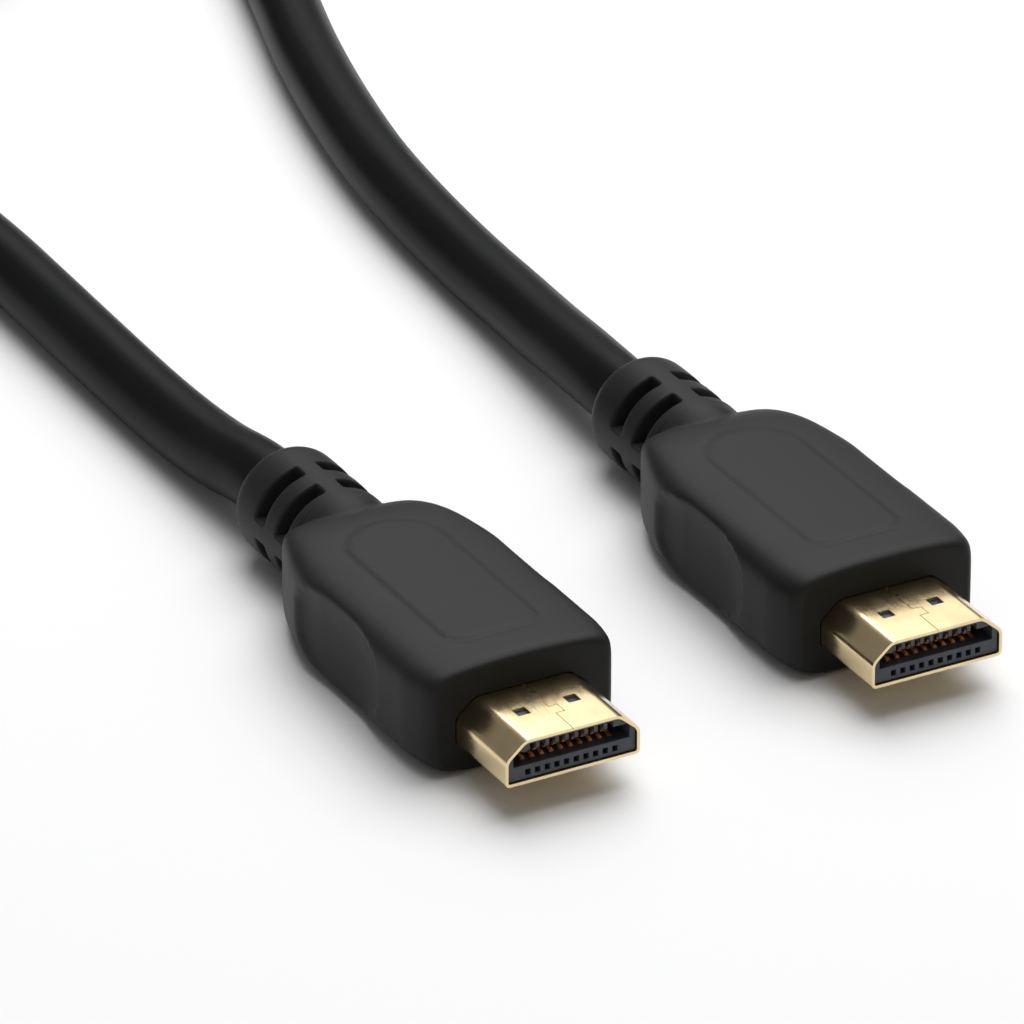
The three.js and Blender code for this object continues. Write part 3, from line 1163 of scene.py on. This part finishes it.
    def build(self, finishes: dict) -> None:
        """Builds the insulator and both rows of contacts.

        Args:
            finishes: The materials by slot.
        """
        end = self.plug.end.value
        finish = finishes["insulator"]
        block = finished_piece(f"{end}_insulator_block", self.insulator_mesh(), finish)
        cut_with(block, finished_piece("slot_cutter", self.slot_cutter(), finish))
        cut_with(block, finished_piece("channel_cutter", self.channel_cutter(), finish))
        soften(block, self.block_edge)
        install(block, "insulator", self.plug.node("insulator"))
        for row in Row:
            name = f"{end}_{row.value}_strips"
            strips = finished_piece(name, self.contacts_mesh(row), finishes["contact_plate"])
            soften(strips, self.strip_edge)
            numbers = range(1, len(self.places(row)) + 1)
            nodes = [self.plug.node(f"{row.value}_contact_{number:02d}") for number in numbers]
            install(strips, "contact_plate", *nodes)


@dataclass
class Lead:
    """The cable between the two plugs: two runs and a flat coil of two layers. Sizes in millimetres."""

    diameter: float = 7.0
    coil_x: float = -199.0
    coil_y: float = 1.0
    coil_radius: float = 36.2
    turn_pitch: float = 7.1
    turns_per_layer: float = 2.25
    points_per_turn: int = 16
    coil_lift: float = 0.9
    climb_turns: float = 0.35
    round_steps: int = 10
    knot_steps: int = 8
    left_run: tuple = (
        (-26.5, -19.15, 5.6), (-30.5, -19.15, 5.6), (-34, -19.15, 5.3), (-40, -19.3, 4.4), (-47, -19.3, 3.8),
        (-55, -19.2, 3.5), (-66, -19.0, 3.5), (-78, -18.7, 3.5), (-90, -18.5, 3.5), (-103, -19.1, 3.5),
        (-116, -21.5, 3.5), (-128, -25.4, 3.5), (-140, -30.6, 3.5), (-152, -35.8, 3.7), (-163, -40.1, 4.1),
        (-174, -42.7, 4.4), (-185, -43.5, 4.4),
    )
    right_run: tuple = (
        (-26.5, 19.15, 5.6), (-30.5, 19.15, 5.6), (-34, 19.3, 5.5), (-40, 19.8, 5.1), (-47, 20.4, 4.5),
        (-55, 21.1, 4.0), (-66, 21.9, 3.5), (-78, 22.8, 3.5), (-90, 24.3, 3.5), (-103, 26.9, 3.5),
        (-116, 30.2, 3.5), (-128, 33.9, 3.5), (-140, 37.6, 3.5), (-152, 41.1, 4.1), (-163, 43.7, 6.3),
        (-174, 45.2, 9.3), (-185, 45.5, 11.4),
    )

    def coil_points(self) -> list[tuple[float, float, float]]:
        """The coil's turns: inwards in the lower layer, then outwards in the upper one.

        Returns:
            The points from the left run's end to the right run's.
        """
        turns = 2 * self.turns_per_layer
        count = round(turns * self.points_per_turn)
        half_band = self.turn_pitch * self.turns_per_layer / 2
        low = self.coil_lift + self.diameter / 2
        points = []
        for step in range(count + 1):
            turn = turns * step / count
            off_middle = abs(turn - self.turns_per_layer) / self.turns_per_layer
            radius = self.coil_radius - half_band + 2 * half_band * off_middle
            rise = min(1.0, max(0.0, (turn - self.turns_per_layer) / self.climb_turns + 0.5))
            rise = rise * rise * (3 - 2 * rise)
            angle = -math.pi / 2 - turn * 2 * math.pi
            points.append((
                self.coil_x + radius * math.cos(angle),
                self.coil_y + radius * math.sin(angle),
                low + self.turn_pitch * rise,
            ))
        return points

    def route(self) -> list[Vector]:
        """The whole centre line from the left plug to the right one, in metres."""
        points = [*self.left_run, *self.coil_points(), *reversed(self.right_run)]
        return [Vector(p) * MM for p in points]

    def build(self, material: bpy.types.Material, tie: bpy.types.Object) -> bpy.types.Object:
        """Args:
            material: The jacket's finish.
            tie: The tie on the coil; not used.

        Returns:
            The cable.
        """
        route = self.route()
        curve = bpy.data.curves.new("cable", "CURVE")
        curve.dimensions = "3D"
        curve.bevel_depth = self.diameter / 2 * MM
        curve.bevel_resolution = self.round_steps
        curve.resolution_u = self.knot_steps
        curve.use_fill_caps = True
        spline = curve.splines.new("BEZIER")
        spline.bezier_points.add(len(route) - 1)
        for index, (knot, point) in enumerate(zip(spline.bezier_points, route)):
            before = route[max(index - 1, 0)]
            after = route[min(index + 1, len(route) - 1)]
            tangent = (after - before).normalized()
            knot.co = point
            knot.handle_left = point - tangent * (point - before).length / 3
            knot.handle_right = point + tangent * (after - point).length / 3
        curve.materials.append(material)
        cable = bpy.data.objects.new("cable", curve)
        bpy.context.scene.collection.objects.link(cable)
        install(cable, "jacket", "left_cable_run", "right_cable_run", "cable_coil")
        return cable


@dataclass
class CoilTie:
    """The twist tie around the coil's section. Sizes in millimetres."""

    width: float = 5.0
    thickness: float = 0.6
    gap: float = 0.25
    corner: float = 2.6
    twist_radius: float = 0.42
    twist_length: float = 9.0
    twist_turns: float = 3.0
    twist_swing: float = 0.9
    twist_steps: int = 48
    strand_sides: int = 10
    floor_gap: float = 0.02
    edge: float = 0.12

    def band_mesh(self, lead: Lead) -> bmesh.types.BMesh:
        """The band around the coil with its twisted ends.

        Args:
            lead: The cable that it holds.

        Returns:
            The closed shapes.
        """
        low, high = (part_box("cable_coil")[i] / MM for i in (0, 1))
        inner = low.x + (lead.turns_per_layer * lead.turn_pitch + lead.diameter)
        y = lead.coil_y - self.width / 2
        grow = self.gap + self.thickness
        left, right = low.x - grow, inner + grow
        bottom, top = self.floor_gap, high.z + grow
        section = ((left, bottom), (right, bottom), (right, top), (left, top))
        corners = [Vector((x, y, z)) * MM for x, z in section]
        travel = Vector((0, self.width * MM, 0))
        mesh = rounded_tube(corners, self.corner * MM, self.thickness * MM, travel)
        for strand in (0, 1):
            self._add_strand(mesh, lead, left, top, strand)
        bmesh.ops.recalc_face_normals(mesh, faces=mesh.faces)
        return mesh

    def _add_strand(
        self, mesh: bmesh.types.BMesh, lead: Lead, left: float, top: float, strand: int
    ) -> None:
        """Adds one of the two ends that are twisted round each other down the coil's side.

        Args:
            mesh: The tie's shapes so far.
            lead: The cable that it holds.
            left: The band's outer side.
            top: The band's top.
            strand: Nought for the first end, one for the second.
        """
        loft = Loft(mesh)
        for step in range(self.twist_steps + 1):
            share = step / self.twist_steps
            turn = share * self.twist_turns * 2 * math.pi + strand * math.pi
            swing = self.twist_radius * self.twist_swing
            x = left - self.twist_radius + swing * math.cos(turn)
            y = lead.coil_y + swing * math.sin(turn)
            z = top - self.corner / 2 - share * self.twist_length
            rims = [side * 2 * math.pi / self.strand_sides for side in range(self.strand_sides)]
            r = self.twist_radius
            points = [Vector((x + r * math.cos(a), y + r * math.sin(a), z)) * MM for a in rims]
            if step:
                loft.draw(points)
            else:
                loft.start(points)
        loft.close()

    def build(self, material: bpy.types.Material, lead: Lead) -> bpy.types.Object:
        """Builds the tie.

        Args:
            material: Its finish.
            lead: The cable that it holds.

        Returns:
            The tie.
        """
        tie = finished_piece("twist_tie", self.band_mesh(lead), material)
        soften(tie, self.edge)
        install(tie, "tie", "coil_tie")
        return tie


@dataclass
class Studio:
    """Pale floor, soft light and the camera. Lengths in metres."""

    azimuth: float = 61.12
    elevation: float = 27.94
    distance: float = 1.0
    lens: float = 373.42
    sensor: float = 36.0
    clip: tuple = (0.01, 50.0)
    target: tuple = (-0.015205, -0.00143, 0.0051)
    floor_size: float = 12.0
    floor_tone: tuple = (0.86, 0.86, 0.865)
    floor_shade: float = 0.985
    floor_spot: float = 0.4
    floor_detail: float = 2.0
    floor_roughness: float = 0.6
    sky: float = 0.2
    lights: tuple = (
        ("key_softbox", 225, 62, 1.1, (1.0, 1.0), 11.4),
        ("top_softbox", 60, 88, 1.2, (0.8, 0.8), 4.2),
        ("back_card", 243, 30, 0.9, (0.7, 0.35), 0.8),
    )

    def toward(self, azimuth: float, elevation: float) -> Vector:
        """Direction from the object at an azimuth and elevation in degrees."""
        a, e = math.radians(azimuth), math.radians(elevation)
        return Vector((math.sin(a) * math.cos(e), -math.cos(a) * math.cos(e), math.sin(e)))

    def build_camera(self) -> None:
        """Adds the camera at the photograph's angle."""
        data = bpy.data.cameras.new("camera")
        data.lens = self.lens
        data.sensor_width = self.sensor
        data.clip_start, data.clip_end = self.clip
        camera = bpy.data.objects.new("camera", data)
        back = self.toward(self.azimuth, self.elevation)
        camera.location = Vector(self.target) + back * self.distance
        camera.rotation_euler = (-back).to_track_quat("-Z", "Y").to_euler()
        bpy.context.scene.collection.objects.link(camera)
        bpy.context.scene.camera = camera

    def build_floor(self) -> None:
        """Adds the floor."""
        mesh = bmesh.new()
        bmesh.ops.create_grid(mesh, x_segments=1, y_segments=1, size=self.floor_size / 2)
        graph = Graph("studio_floor")
        fine = graph.noise(graph.place(), self.floor_spot, self.floor_detail)
        shade = tuple(c * self.floor_shade for c in self.floor_tone)
        color = graph.blend(shade, self.floor_tone, fine)
        material = graph.finish(Base_Color=color, Roughness=self.floor_roughness)
        floor = finished_piece("floor", mesh, material)

    def add_light(
        self, name: str, azimuth: float, elevation: float, distance: float, size: tuple, power: float
    ) -> None:
        """Adds one soft light that looks at the object.

        Args:
            name: The light's name.
            azimuth: Where it stands round the object, in degrees.
            elevation: Its height over the horizon, in degrees.
            distance: How far away it is.
            size: Its width and height.
            power: Its power in watts.
        """
        data = bpy.data.lights.new(name, "AREA")
        data.shape = "RECTANGLE"
        data.size, data.size_y = size
        data.energy = power
        light = bpy.data.objects.new(name, data)
        back = self.toward(azimuth, elevation)
        light.location = Vector(self.target) + back * distance
        light.rotation_euler = (-back).to_track_quat("-Z", "Y").to_euler()
        bpy.context.scene.collection.objects.link(light)

    def build_light(self) -> None:
        """Adds the soft lights and the even light from all round."""
        world = bpy.data.worlds.new("studio")
        world.use_nodes = True
        background = world.node_tree.nodes["Background"]
        background.inputs["Color"].default_value = (1, 1, 1, 1)
        background.inputs["Strength"].default_value = self.sky
        bpy.context.scene.world = world
        for light in self.lights:
            self.add_light(*light)

    def build(self) -> None:
        """Builds the whole studio."""
        self.build_camera()
        self.build_floor()
        self.build_light()
        bpy.context.scene.view_settings.view_transform = "Standard"


def main() -> None:
    """Builds the studio and the lead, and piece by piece."""
    logging.basicConfig(level=logging.INFO, format="%(name)s: %(message)s")
    Studio().build()
    lead = Lead()
    tie = CoilTie().build(TieWrap().material(), lead)
    lead.build(CableJacket().material(), tie)
    plug_finishes = (MouldedSatin(), GoldPlate(), InsulatorPlastic(), ContactPlate())
    finishes = {finish.slot: finish.material() for finish in plug_finishes}
    pieces: dict[str, bpy.types.Object] = {}
    for end in End:
        pieces = Plug(end).build(finishes, pieces)
        log.info("%s plug is done", end.value)


if __name__ == "__main__":
    main()
